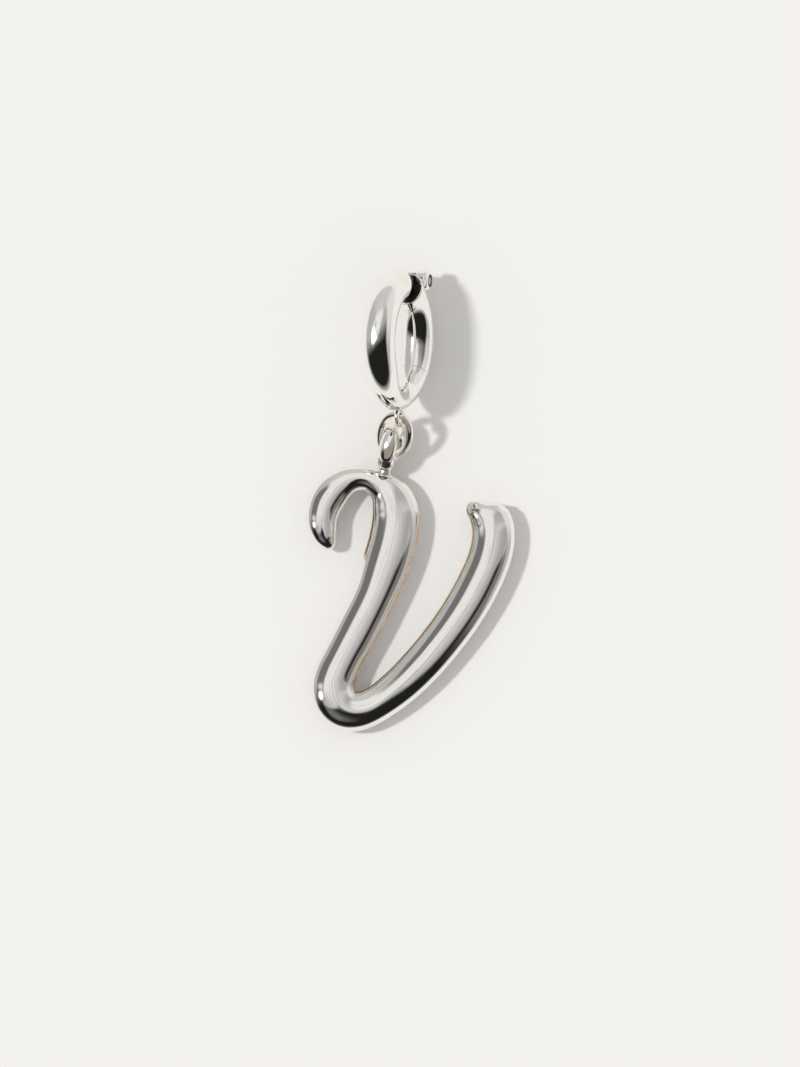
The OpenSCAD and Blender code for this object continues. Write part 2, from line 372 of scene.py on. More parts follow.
def row_at(place):
    """The stroke's values at any place between two rows."""
    i = min(int(place), ROWS - 2)
    a, b, c, d = (STROKE[min(max(k, 0), ROWS - 1)] for k in (i - 1, i, i + 1, i + 2))
    t = place - i
    bend = (2 * a - 5 * b + 4 * c - d) * t ** 2 + (3 * b - a - 3 * c + d) * t ** 3
    return 0.5 * (2 * b + (c - a) * t + bend)


def turn(axis, degrees):
    """A turn about one axis, as a 3 by 3 matrix."""
    return np.array(Matrix.Rotation(math.radians(degrees), 3, axis))


# Places, worked out link by link from the letter upwards
LOOP_R = (LOOP_HOLE + LOOP_WIRE) / 2
LOOP_HALF_HIGH = math.hypot(LOOP_WIRE * cos(LOOP_LEAN), LOOP_WIDE * sin(LOOP_LEAN)) / 2
LOOP_Z = LOOP_R * cos(LOOP_LEAN) + LOOP_HALF_HIGH
LOOP_DIR = np.array((sin(LOOP_TURN), cos(LOOP_TURN), 0))
LOOP_ROOT = row_at(LOOP_ROW)
FOOT_REACH = LOOP_ROOT[WIDE] * STROKE_W / 2
LOOP_FOOT = np.array((LETTER_W * LOOP_ROOT[ACROSS], LETTER_H * LOOP_ROOT[UP], LOOP_Z))
LOOP_AT = LOOP_FOOT + LOOP_DIR * (FOOT_REACH + LOOP_R + LOOP_WIRE / 2 - LOOP_SINK)

TUBE_R = TUBE_D / 2
HOOP_R = HOOP_OD / 2 - TUBE_R
HOOP_Z = HOOP_R * math.sqrt(1 - (cos(HOOP_STAND) * cos(HOOP_PITCH)) ** 2) + TUBE_R
EYE_R = RING_WIRE / 2 + EYE_PLAY + EYE_WIRE / 2
SEAT_REACH = HOOP_OD / 2 + HOOP_GAP + RING_WIRE / 2
EYE_REACH = SEAT_REACH + EYE_PLAY - LINK_GAP
SEAT_Z = HOOP_Z - SEAT_REACH * sin(HOOP_PITCH)

RING_HALF_L = (RING_L - RING_WIRE) / 2
RING_HALF_W = (RING_W - RING_WIRE) / 2
RING_LOW = LOOP_AT - LOOP_DIR * (LOOP_HOLE / 2 - RING_WIRE / 2 - LINK_GAP)
RING_RISE = math.degrees(math.asin((SEAT_Z - LOOP_Z) / (2 * RING_HALF_L)))
RING_DIR = np.array((sin(RING_TURN) * cos(RING_RISE), cos(RING_TURN) * cos(RING_RISE), sin(RING_RISE)))
RING_HIGH = RING_LOW + RING_DIR * 2 * RING_HALF_L
SEAT_RUN = SEAT_REACH * cos(HOOP_PITCH)
SEAT_BACK = np.array((-SEAT_RUN * sin(HOOP_TURN), SEAT_RUN * cos(HOOP_TURN)))
HOOP_AT = np.array((*(RING_HIGH[:2] + SEAT_BACK), HOOP_Z))
HOME = np.array((-LETTER_W / 2, -(HOOP_AT[1] + HOOP_OD / 2) / 2, 0))

PIN_REACH = HOOP_OD / 2 - PIN_DEPTH
PIN_AT = PIN_REACH * np.array((sin(PIN_ANGLE), cos(PIN_ANGLE), 0))
ROOT_AT = HOOP_R * np.array((-sin(ROOT_BACK), cos(ROOT_BACK), 0))
HOOP_WAY = turn("Z", HOOP_TURN) @ turn("X", HOOP_PITCH) @ turn("Y", HOOP_STAND)


def on_hoop(points):
    """From the hoop's own plane, y to its top and x to its far side, to its place."""
    return np.asarray(points) @ HOOP_WAY.T + HOME + HOOP_AT


# Finishes

# The sockets of a Mix node that mixes colours, which has others for numbers and vectors
MIX_SHARE, MIX_FIRST, MIX_SECOND, MIX_RESULT = 0, 6, 7, 2


class Socket:
    """A shader value that can be used in sums."""

    def __init__(self, nodes, link):
        self.nodes = nodes
        self.link = link

    def math(self, operation, *others):
        values = dict(enumerate((self, *others)))
        return self.nodes.add("ShaderNodeMath", {"operation": operation}, values)

    def __add__(self, other):
        return self.math("ADD", other)

    def __sub__(self, other):
        return self.math("SUBTRACT", other)

    def __rsub__(self, other):
        return (self * -1) + other

    def __mul__(self, other):
        return self.math("MULTIPLY", other)

    __radd__ = __add__
    __rmul__ = __mul__

    def step(self, low, high):
        """0 below low, 1 above high and a soft rise between."""
        return self.nodes.add("ShaderNodeMapRange", {"interpolation_type": "SMOOTHSTEP"},
                              {"Value": self, "From Min": low, "From Max": high})

    def between(self, low, high, soft):
        """1 from low to high, with soft sides, and 0 elsewhere."""
        return self.step(low - soft, low + soft) * (1 - self.step(high - soft, high + soft))


class Nodes:
    """The shader nodes of a finish, of the surroundings or of a lamp."""

    def __init__(self, tree):
        self.tree = tree

    def add(self, kind, settings=None, values=None, out=0):
        """One node: settings first, then the values or links of its sockets; out names an output."""
        node = self.tree.nodes.new(kind)
        for name, value in (settings or {}).items():
            setattr(node, name, value)
        for name, value in (values or {}).items():
            if isinstance(value, Socket):
                self.feed(value, node.inputs[name])
            else:
                node.inputs[name].default_value = value
        if isinstance(out, tuple):
            return [Socket(self, node.outputs[i]) for i in out]
        return Socket(self, node.outputs[out])

    def feed(self, value, socket):
        self.tree.links.new(value.link, socket)

    def object_place(self):
        """The place on the object, in metres."""
        return self.add("ShaderNodeTexCoord", out="Object")

    def noise(self, place, scale, detail):
        values = {"Vector": place, "Scale": scale, "Detail": detail}
        return self.add("ShaderNodeTexNoise", None, values)

    def bump(self, height, strength, distance):
        values = {"Height": height, "Strength": strength, "Distance": distance}
        return self.add("ShaderNodeBump", None, values)

    def mix(self, share, first, second):
        """A colour between two colours."""
        values = {MIX_SHARE: share, MIX_FIRST: first, MIX_SECOND: second}
        return self.add("ShaderNodeMix", {"data_type": "RGBA"}, values, MIX_RESULT)


def new_finish(name, colour, roughness, metallic=1.0):
    """A material, its nodes and the sockets of its shader."""
    mat = bpy.data.materials.new(name)
    mat.use_nodes = True
    sockets = mat.node_tree.nodes["Principled BSDF"].inputs
    sockets["Base Color"].default_value = colour
    sockets["Metallic"].default_value = metallic
    sockets["Roughness"].default_value = roughness
    return mat, Nodes(mat.node_tree), sockets


def letter_polish():
    """Mirror polish with fine buffing lines along the stroke and painted warm reflections low on its
    sides.
    """
    mat, nodes, sockets = new_finish("letter_polish", LETTER_SILVER, LETTER_ROUGH)
    uv = nodes.add("ShaderNodeUVMap", {"uv_map": "stroke"})
    lines = nodes.add("ShaderNodeMapping", None, {"Vector": uv, "Scale": LINE_SCALE})
    line = nodes.noise(lines, 1.0, LINE_DETAIL)
    hairs = nodes.add("ShaderNodeMapping", None, {"Vector": uv, "Scale": HAIR_SCALE})
    hair = nodes.noise(hairs, 1.0, HAIR_DETAIL)
    spot = nodes.object_place()
    wave = nodes.noise(spot, WAVE_SCALE, WAVE_DETAIL)
    cloud = nodes.noise(spot, CLOUD_SCALE, CLOUD_DETAIL)

    relief = line * LINE_RELIEF + wave * WAVE_RELIEF + hair * HAIR_RELIEF
    nodes.feed(nodes.bump(relief, LETTER_BUMP, LETTER_BUMP_HIGH), sockets["Normal"])
    dull = cloud.step(*DULL_CLOUD) * DULL_MOST
    nodes.feed(dull + LETTER_ROUGH, sockets["Roughness"])

    warm = cloud.step(*WARM_CLOUD) * WARM_MOST
    base = nodes.mix(warm, LETTER_SILVER, WARM_SILVER)
    buffed = line.step(*BUFFED_LINE) * BUFFED_LINE_MOST + hair.step(*BUFFED_HAIR) * BUFFED_HAIR_MOST
    base = nodes.mix(buffed, base, BUFFED_GREY)
    along, about = nodes.add("ShaderNodeSeparateXYZ", None, {"Vector": uv}, ("X", "Y"))
    # Painted warm reflections low on both sides of the stroke, broken into patches
    left = about.between(*GOLD_LEFT) * along.between(*GOLD_LEFT_ROWS)
    right = about.between(*GOLD_RIGHT) * along.step(*GOLD_RIGHT_START) * (1 - along.step(*GOLD_RIGHT_END))
    patchy = PATCHY_LEAST + cloud.step(*PATCHY_CLOUD) * (1 - PATCHY_LEAST)
    base = nodes.mix((left + right) * patchy, base, PAINTED_WARM_REFLECTION)
    broken = BROKEN_LEAST + wave.step(*BROKEN_WAVE) * (1 - BROKEN_LEAST)
    # A painted reflection line along the crest, and a thin grey line just off it
    crest = about.between(*CREST_LINE) * along.between(*CREST_ROWS) * broken
    ridge = about.between(*RIDGE_LINE) * along.between(*RIDGE_ROWS) * wave.step(*RIDGE_WAVE)
    base = nodes.mix(crest * CREST_MOST + ridge * RIDGE_MOST, base, LINE_GREY)
    nodes.feed(base, sockets["Base Color"])
    return mat


def wire_polish(name, colour, roughness, scale):
    """Drawn and tumbled wire: polished, with small dents and a little tarnish."""
    clean = (*colour, 1)
    tarnished = (*(level * share for level, share in zip(colour, TARNISH)), 1)
    mat, nodes, sockets = new_finish(name, clean, roughness)
    spot = nodes.object_place()
    dent = nodes.noise(spot, scale, DENT_DETAIL)
    cloud = nodes.noise(spot, scale * CLOUDS_PER_DENT, TARNISH_DETAIL)
    nodes.feed(nodes.bump(dent, DENT_BUMP, DENT_HIGH), sockets["Normal"])
    dull = cloud.step(*ROUGH_CLOUD) * ROUGH_MOST
    nodes.feed(dull + roughness, sockets["Roughness"])
    spread = cloud.step(*TARNISH_CLOUD) * TARNISH_MOST
    nodes.feed(nodes.mix(spread, clean, tarnished), sockets["Base Color"])
    return mat


LETTER_POLISH = letter_polish()
CLASP_POLISH = wire_polish("clasp_polish", colour=(0.95, 0.94, 0.915), roughness=0.045, scale=300.0)
RING_POLISH = wire_polish("ring_polish", colour=(0.93, 0.90, 0.85), roughness=0.06, scale=900.0)
LOOP_POLISH = wire_polish("loop_polish", colour=(0.94, 0.92, 0.88), roughness=0.10, scale=1100.0)
SOLDER = wire_polish("solder", colour=(0.80, 0.745, 0.69), roughness=0.14, scale=1300.0)
# Near-black: painted shade in the gate's hollow and on the tongue, and a painted dark reflection on the
# loop
PAINTED_SHADE_AND_REFLECTION = wire_polish("painted_shade_and_reflection", colour=(0.10, 0.095, 0.085), roughness=0.35, scale=900.0)
# Steel grey for the pin; on the ears' countersinks the same grey is painted shade
PIN_STEEL_AND_SHADE = wire_polish("pin_steel", colour=(0.42, 0.40, 0.37), roughness=0.22, scale=1500.0)


# Meshes

def new_piece(name, mesh_data, body, node, mat, crisp=None):
    """A piece from its points, in millimetres, and its faces; node is the CAD node it stands for."""
    points, faces = mesh_data
    mesh = bpy.data.meshes.new(name)
    mesh.from_pydata([tuple(p) for p in np.asarray(points) * MM], [], faces)
    mesh.validate()
    # Every face looks outwards
    solid = bmesh.new()
    solid.from_mesh(mesh)
    bmesh.ops.recalc_face_normals(solid, faces=solid.faces)
    solid.to_mesh(mesh)
    solid.free()
    piece = bpy.data.objects.new(name, mesh)
    bpy.context.scene.collection.objects.link(piece)
    mesh.materials.append(mat)
    mesh.shade_smooth()
    if crisp:
        mesh.set_sharp_from_angle(angle=math.radians(crisp))
    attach(piece, body)
    if node:
        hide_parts(node)
    return piece


def paint(piece, mat, chosen):
    """Another finish on the faces whose number is chosen."""
    piece.data.materials.append(mat)
    for face in piece.data.polygons:
        if chosen(face.index):
            face.material_index = 1


def skin(rings, closed=False):
    """Points and faces of a skin over a row of sections, joined into a ring or capped at both ends."""
    m, n = len(rings), len(rings[0])
    faces = []
    for j in range(m if closed else m - 1):
        for k in range(n):
            a, b = j * n + k, j * n + (k + 1) % n
            c, d = (j + 1) % m * n + k, (j + 1) % m * n + (k + 1) % n
            faces.append((a, b, d, c))
    if not closed:
        faces.append(tuple(range(n - 1, -1, -1)))
        faces.append(tuple(range((m - 1) * n, m * n)))
    return np.concatenate(rings), faces


def placed(mesh_data, way, at):
    """The same mesh, turned and moved to its place."""
    points, faces = mesh_data
    return points @ way.T + HOME + at, faces


def placed_on_hoop(mesh_data, at=(0, 0, 0)):
    """The same mesh, shifted along the hoop's own axes and moved with the hoop to its place."""
    points, faces = mesh_data
    return on_hoop(points + np.array(at)), faces


def angles_round(sides):
    """The angles of a round section's points, in radians."""
    return 2 * np.pi * np.arange(sides) / sides


def settle(values, rounds):
    """Takes the small waves out of a row of values and keeps its ends."""
    for _ in range(rounds):
        for pull in SETTLE_PULLS:
            change = np.zeros_like(values)
            change[1:-1] = (values[:-2] + values[2:]) / 2 - values[1:-1]
            values = values + pull * change
    return values


def mean_of_neighbours(grid):
    """For each section the mean of the one before and the one after; both ends stay as they are."""
    mean = grid.copy()
    mean[1:-1] = (grid[:-2] + grid[2:]) / 2
    return mean


def unfold(grid, ahead):
    """Where the inside of a bend would fold over itself, its points are drawn together."""
    for _ in range(UNFOLD_ROUNDS):
        steps = grid[1:, :, :2] - grid[:-1, :, :2]
        folded = np.einsum("jkc,jc->jk", steps, ahead[:-1]) < LEAST_STEP
        if not folded.any():
            break
        near = np.zeros(grid.shape[:2], bool)
        near[:-1] |= folded
        near[1:] |= folded
        for shift in range(1, UNFOLD_AFTER + 1):
            near[shift:] |= folded[:len(near) - shift]
        near[0] = near[-1] = False
        grid = np.where(near[:, :, None], mean_of_neighbours(grid), grid)
    return grid


def soften(grid, weight, rounds):
    """Evens out the sections along the stroke where weight is more than 0."""
    for _ in range(rounds):
        grid = grid + (mean_of_neighbours(grid) - grid) * weight[:, :, None]
    return grid


def stroke_rings():
    """The puffed stroke: a dome above, a round underside that ends flat where it rests."""
    place = np.arange((ROWS - 1) * STROKE_STEPS + 1) / STROKE_STEPS
    rows = settle(np.array([row_at(p) for p in place]), SETTLE_ROUNDS)
    spine = rows[:, :2] * (LETTER_W, LETTER_H)
    way = np.gradient(spine, axis=0)
    way /= np.linalg.norm(way, axis=1)[:, None]
    heading = np.unwrap(np.arctan2(way[:, 1], way[:, 0])) - math.pi / 2 + np.radians(rows[:, SLANT])

    around = angles_round(STROKE_SIDES)
    from_end = np.minimum(place, ROWS - 1 - place) / TIP_ROWS
    tip = np.where(from_end < 1, np.sqrt(np.clip(1 - (1 - from_end) ** 2, 0, 1)), 1)
    tip = np.maximum(tip, TIP_LEAST)
    half = STROKE_W * rows[:, WIDE] / 2 * tip
    deep = rows[:, DEEP] * (TIP_DEPTH + (1 - TIP_DEPTH) * tip)
    mid_z, flat_z = MID_SHARE * STROKE_T, FLAT_SHARE * STROKE_T
    high = np.where(np.sin(around) > 0, STROKE_T - mid_z, mid_z + flat_z)
    out = half[:, None] * np.cos(around)
    up = mid_z + deep[:, None] * high * np.sin(around)
    grid = np.stack((spine[:, :1] + out * np.cos(heading)[:, None],
                     spine[:, 1:] + out * np.sin(heading)[:, None], np.maximum(up, 0)), axis=2)

    grid = unfold(grid, np.stack((-np.sin(heading), np.cos(heading)), axis=1))
    crotch = np.clip(1 - np.abs(place - CROTCH_ROW) / CROTCH_ROWS, 0, 1)[:, None]
    inner = np.clip(CROTCH_SIDE - np.cos(around), 0, 1)[None]
    grid = soften(grid, crotch * inner, CROTCH_ROUNDS)
    middle = (ROWS - 1) / 2
    ends = np.clip((np.abs(place - middle) - middle + END_ROWS) / END_ROWS, 0, END_PULL)[:, None]
    return soften(grid, ends * np.ones_like(around)[None], END_ROUNDS) + HOME


def add_stroke_map(piece):
    """A map along the stroke, in rows, and round its section, for the lines of its polish."""
    layer = piece.data.uv_layers.new(name="stroke")
    for face in piece.data.polygons:
        ks = [piece.data.loops[i].vertex_index % STROKE_SIDES for i in face.loop_indices]
        wraps = max(ks) - min(ks) > STROKE_SIDES / 2
        for i, k in zip(face.loop_indices, ks):
            j = piece.data.loops[i].vertex_index // STROKE_SIDES
            if wraps and k < STROKE_SIDES / 2:
                k += STROKE_SIDES
            layer.data[i].uv = (j / STROKE_STEPS, k / STROKE_SIDES)


def wire_ring(half_w, half_l, wire, wide, steps=WIRE_STEPS, sides=WIRE_SIDES):
    """A round or oval ring; wide is the width of its wire across the ring's plane."""
    b = angles_round(sides)
    out = wire / 2 * np.cos(b)
    rings = []
    for j in range(steps):
        angle = -360 * j / steps
        way = math.atan2(half_w * cos(angle), half_l * sin(angle))
        rings.append(np.stack((half_w * sin(angle) + out * math.cos(way),
                               half_l * cos(angle) + out * math.sin(way), wide / 2 * np.sin(b)), axis=1))
    return skin(rings, closed=True)


def lathe(profile, sides, closed=False):
    """A solid of revolution round z, from a profile of radii and heights."""
    b = angles_round(sides)
    rings = [np.stack((r * np.cos(b), r * np.sin(b), np.full(sides, z)), axis=1) for r, z in profile]
    return skin(rings, closed)


def arc(cx, cz, r, start, end, steps=ARC_STEPS):
    """Points of a profile's rounded corner."""
    turns = [start + (end - start) * i / steps for i in range(steps + 1)]
    return [(cx + r * cos(a), cz + r * sin(a)) for a in turns]


def hoop_section(angle, shrink=0.0, slant=0.0):
    """One section of the hoop; slant leans it so that its outside runs ahead."""
    b = angles_round(HOOP_SIDES)
    away = abs(angle - 180)
    slim = 1 - SLIM_SHARE * cos(90 * away / SLIM_REACH) ** 2 if away < SLIM_REACH else 1
    r = TUBE_R * slim
    reach = HOOP_OD / 2 - r
    out = (r - shrink) * np.cos(b)
    ahead = np.radians(angle + slant * np.degrees(out / HOOP_R))
    across = -(r - shrink) * np.sin(b)
    return np.stack(((reach + out) * np.sin(ahead), (reach + out) * np.cos(ahead), across), axis=1)


def hoop_tube(start, end, start_lip, end_lip, end_slant=0.0):
    """Rings of the hoop's tube with softened rims."""
    low, high = (math.degrees(lip / HOOP_R) for lip in (start_lip, end_lip))
    rings = []
    for i in range(LIP_STEPS):
        a = 90 * i / LIP_STEPS
        rings.append(hoop_section(start + low * (1 - cos(a)), start_lip * (1 - sin(a))))
    count = int(math.ceil((end - start - low - high) / HOOP_STEP_DEG))
    for j in range(count + 1):
        angle = start + low + (end - start - low - high) * j / count
        rings.append(hoop_section(angle, 0, end_slant * max(0, 1 - (end - angle) / SLANT_FADE)))
    for i in range(1, LIP_STEPS + 1):
        a = 90 * i / LIP_STEPS
        rings.append(hoop_section(end - high * (1 - sin(a)), end_lip * (1 - cos(a)), end_slant))
    return rings


def plate(outline, thick, edge):
    """A plate of a rounded outline in the xy plane, its rims softened."""
    outline = np.asarray(outline, float)
    along = np.roll(outline, -1, axis=0) - np.roll(outline, 1, axis=0)
    away = np.stack((along[:, 1], -along[:, 0]), axis=1) / np.linalg.norm(along, axis=1)[:, None]
    rings = []
    for side in (-1, 1):
        for i in range(RIM_STEPS + 1):
            a = 90 * (i / RIM_STEPS if side < 0 else 1 - i / RIM_STEPS)
            flat = outline - away * edge * (1 - sin(a))
            z = side * (thick / 2 - edge * (1 - cos(a)))
            rings.append(np.column_stack((flat, np.full(len(flat), z))))
    return skin(rings)


# Pieces

def make_stroke():
    """The letter itself."""
    mesh_data = skin(stroke_rings())
    stroke = new_piece("letter_stroke", mesh_data, "pendant", "letter", LETTER_POLISH)
    add_stroke_map(stroke)


def in_loop_reflection(index):
    """Whether a face of the loop lies in the painted dark reflection where it comes out of its solder."""
    step, side = divmod(index, WIRE_SIDES)
    return step in LOOP_REFLECTION_STEPS and (side + 1) % WIRE_SIDES < LOOP_REFLECTION_SIDES


def make_loop():
    """The loop on the letter, of a wire wider than thick, which stands with a slight lean."""
    way = turn("Z", -LOOP_TURN) @ turn("Y", 90 - LOOP_LEAN)
    mesh_data = placed(wire_ring(LOOP_R, LOOP_R, LOOP_WIRE, LOOP_WIDE), way, LOOP_AT)
    loop = new_piece("letter_loop", mesh_data, "pendant", None, LOOP_POLISH)
    # A patch of the loop's wire is painted dark: a painted reflection
    paint(loop, PAINTED_SHADE_AND_REFLECTION, in_loop_reflection)


def make_collar():
    """A grooved collar of solder between the letter and its loop."""
    foot = LOOP_R + LOOP_WIRE / 2
    profile = [(AXIS_R, foot + COLLAR_START)]
    for inset, rise, r, start, end, steps in COLLAR_ROUNDS:
        profile += arc(COLLAR_D / 2 - inset, foot + rise, r, start, end, steps)
    profile.append((AXIS_R, foot + COLLAR_END))
    way = turn("Z", -LOOP_TURN) @ turn("X", 90)
    mesh_data = placed(lathe(profile, LATHE_SIDES), way, LOOP_AT)
    new_piece("letter_collar", mesh_data, "pendant", None, SOLDER)


def make_ring():
    """The oval jump ring, which slopes up from the loop to the hoop's eye."""
    way = turn("Z", -RING_TURN) @ turn("X", RING_RISE) @ turn("Y", -RING_ROLL)
    mesh_data = wire_ring(RING_HALF_W, RING_HALF_L, RING_WIRE, RING_WIRE)
    mesh_data = placed(mesh_data, way, (RING_LOW + RING_HIGH) / 2)
    new_piece("ring", mesh_data, "pendant", "jump_ring", RING_POLISH)


def make_fixed_hoop():
    """The fixed part of the hoop, from where the gate closes round to the hinge."""
    slant = math.tan(math.radians(END_SLANT))
    rings = hoop_tube(CLOSING_ANGLE, 360 + FIXED_END, CLOSING_LIP, HINGE_LIP, slant)
    mesh_data = placed_on_hoop(skin(rings))
    new_piece("hoop_fixed", mesh_data, "pendant", "clasp_body", CLASP_POLISH, CRISP)


def make_eye():
    """The small eye under the hoop, in which the jump ring hangs."""
    mesh_data = wire_ring(EYE_R, EYE_R, EYE_WIRE, EYE_WIRE, EYE_STEPS, EYE_SIDES)
    mesh_data = placed_on_hoop(mesh_data, (0, -EYE_REACH, 0))
    new_piece("hoop_eye", mesh_data, "pendant", None, RING_POLISH)


def make_tongue():
    """The tongue runs from the pin back into the end of the fixed part."""
    back = (ROOT_AT - PIN_AT)[:2]
    length = float(np.linalg.norm(back))
    r = TONGUE_H / 2 - TONGUE_EASE
    outline = [(r * cos(a), r * sin(a)) for a in np.linspace(90, 270, TONGUE_ROUND)]
    outline += [(length * i / TONGUE_STEPS, -r) for i in range(1, TONGUE_STEPS + 1)]
    outline += [(length * i / TONGUE_STEPS, r) for i in range(TONGUE_STEPS, 0, -1)]
    back_turn = math.degrees(math.atan2(back[1], back[0]))
    c, s = cos(back_turn), sin(back_turn)
    outline = [(x * c - y * s + PIN_AT[0], x * s + y * c + PIN_AT[1]) for x, y in outline]
    mesh_data = placed_on_hoop(plate(outline, TONGUE_T, TONGUE_RIM))
    # The tongue gets the near-black finish all over: painted shade, as it stands in the hollow's shade
    new_piece("hinge_tongue", mesh_data, "pendant", None, PAINTED_SHADE_AND_REFLECTION, CRISP)


def make_gate():
    """The gate is a tube whose hinge end is hollow; the hollow's floor and wall are painted near-black as
    shade.
    """
    # From the middle of the hollow's floor to its mouth: how far in from the tube's outside, how deep
    hollow = (
        (TUBE_R - AXIS_R, HOLLOW_DEG + HOLLOW_MIDDLE),
        (TUBE_R / 2, HOLLOW_DEG + HOLLOW_DISH),
        (HOLLOW_WALL, HOLLOW_DEG),
        (HOLLOW_WALL, MOUTH_DEG),
        (HOLLOW_WALL * MOUTH_SHARE, 0.0),
    )
    inner = [hoop_section(GATE_START + depth, wall) for wall, depth in hollow]
    seam = math.degrees(CLOSING_GAP / HOOP_R) * SEAM_SHARE
    outer = hoop_tube(GATE_START, CLOSING_ANGLE - seam, HINGE_LIP, CLOSING_LIP)
    mesh_data = placed_on_hoop(skin(inner + outer))
    gate = new_piece("hoop_gate", mesh_data, "gate", "clasp_gate", CLASP_POLISH, CRISP)
    # The hollow's floor and wall get the near-black finish: painted shade
    painted_shade_faces = (len(hollow) - 2) * HOOP_SIDES
    paint(gate, PAINTED_SHADE_AND_REFLECTION, lambda index: index < painted_shade_faces)


def make_ears():
    """Two ears beside the tongue, domed outside; the countersunk rim of their bore is painted darker as
    shade.
    """
    low = TONGUE_T / 2 + SIDE_GAP
    high = low + ((EARS_W - TONGUE_T) / 2 - SIDE_GAP)
    bore = PIN_D / 2 + PIN_GAP
    profile = [(bore, low + BORE_EASE), (EAR_D / 2 - EAR_RIM, low)]
    profile += arc(EAR_D / 2 - EAR_RIM, low + EAR_RIM, EAR_RIM, -90, 0)
    profile += arc(EAR_D / 2 - EAR_DOME, high - EAR_DOME, EAR_DOME, 0, 90, DOME_STEPS)
    sunk = [(bore + SINK, high), (bore + SINK * SINK_TAPER, high - SINK), (bore, high - SINK)]
    painted_shade_from = len(profile) * EAR_SIDES
    for side, name in ((-1, "hinge_ear_near"), (1, "hinge_ear_far")):
        points, faces = lathe([(r, side * z) for r, z in profile + sunk], EAR_SIDES, closed=True)
        # The near one is mirrored, so its faces are turned back
        if side < 0:
            faces = [face[::-1] for face in faces]
        mesh_data = placed_on_hoop((points, faces), PIN_AT)
        ear = new_piece(name, mesh_data, "gate", None, CLASP_POLISH, CRISP)
        # The countersinks get the darker steel grey: painted shade in the recess
        paint(ear, PIN_STEEL_AND_SHADE, lambda index: index >= painted_shade_from)


def make_pin():
    """The pin, with a softened rim at each end."""
    half = EARS_W / 2 - SIDE_GAP
    rim = [(AXIS_R, 0.0), (PIN_D / 2 - PIN_RIM, 0.0), (PIN_D / 2, PIN_RIM)]
    profile = [(r, -half + z) for r, z in rim] + [(r, half - z) for r, z in rim[::-1]]
    mesh_data = placed_on_hoop(lathe(profile, LATHE_SIDES), PIN_AT)
    new_piece("pin", mesh_data, "pendant", "hinge_pin", PIN_STEEL_AND_SHADE, PIN_CRISP)


make_stroke()
make_loop()
make_collar()
make_ring()
make_fixed_hoop()
make_eye()
make_tongue()
make_gate()
make_ears()
make_pin()


# The camera, the surface and the light

def set_camera():
    """It looks straight down, and its frame is the photo's."""
    camera = bpy.data.objects.new("camera", bpy.data.cameras.new("camera"))
    camera.data.sensor_width = SENSOR
    camera.data.lens = SENSOR * CAMERA_FAR / (PHOTO_H / PX_PER_MM)
    camera.data.clip_start, camera.data.clip_end = CLIP_NEAR, CLIP_FAR
    camera.location = (CAMERA_AT[0] * MM, CAMERA_AT[1] * MM, CAMERA_FAR * MM)
    bpy.context.scene.collection.objects.link(camera)
    bpy.context.scene.camera = camera
    bpy.context.scene.view_settings.view_transform = "Standard"


def lay_floor():
    """Pale paper with a faint grain."""
    mesh = bpy.data.meshes.new("floor")
    corners = [(x * FLOOR_HALF, y * FLOOR_HALF, 0) for x, y in ((-1, -1), (1, -1), (1, 1), (-1, 1))]
    mesh.from_pydata(corners, [], [(0, 1, 2, 3)])
    floor = bpy.data.objects.new("floor", mesh)
    bpy.context.scene.collection.objects.link(floor)
    mat, nodes, sockets = new_finish("pale_paper", PALE, PAPER_ROUGH, metallic=0.0)
    grain = nodes.noise(nodes.object_place(), FLOOR_GRAIN, GRAIN_DETAIL)
    nodes.feed(nodes.mix(grain, PALE, PALER), sockets["Base Color"])
    mesh.materials.append(mat)


def set_key_light():
    """A soft sun; what it would show in the polish is left to the glare cards."""
    sun = bpy.data.objects.new("key", bpy.data.lights.new("key", "SUN"))
    sun.data.energy = KEY_SUN
    sun.data.angle = math.radians(KEY_SOFT)
    sun.visible_glossy = False
    sun.rotation_euler = Vector(KEY_FROM).to_track_quat("Z", "Y").to_euler()
    bpy.context.scene.collection.objects.link(sun)


def rounds(nodes, spot):
    """Side, lean, and how deep a direction lies in the dark side's half."""
    x, y, z = nodes.add("ShaderNodeSeparateXYZ", None, {"Vector": spot}, ("X", "Y", "Z"))
    lean = z.math("ARCCOSINE") * (180 / math.pi)
    side = x.math("ARCTAN2", y * -1) * (180 / math.pi)
    return side, lean, x * sin(DARK_SIDE) - y * cos(DARK_SIDE)


def pale_light(side, lean):
    """The pale surroundings without their dark side."""
    light = OVERHEAD - lean.step(*WALL_EDGE) * WALLS_LESS + lean.step(*LOW_EDGE) * LOW_MORE
    back = side.between(*BACK_RIGHT) + side.between(*BACK_LEFT)
    light = light + back * lean.step(*BACK_EDGE) * BACK_MORE
    right = side.between(*RIGHT_SPAN)
    return light * (1 - right) + (RIGHT_HIGH + lean.step(*RIGHT_WALL_EDGE) * RIGHT_LOW_MORE) * right


def stripe_share(side, lean):
    """A darker stripe on the left."""
    foot = (lean - side.step(*STRIPE_DROP_SIDE) * STRIPE_DROP).step(*STRIPE_FOOT)
    return side.between(*STRIPE_SPAN) * lean.step(*STRIPE_TOP) * (1 - foot)


def dark_share(side, lean, deep):
    """The dark side, which fades in over the zenith and ends above the floor."""
    foot = (lean + side.step(*DARK_RISE_SIDE) * DARK_RISE).step(*DARK_FOOT)
    return deep.step(*DARK_EDGE) * (1 - foot)


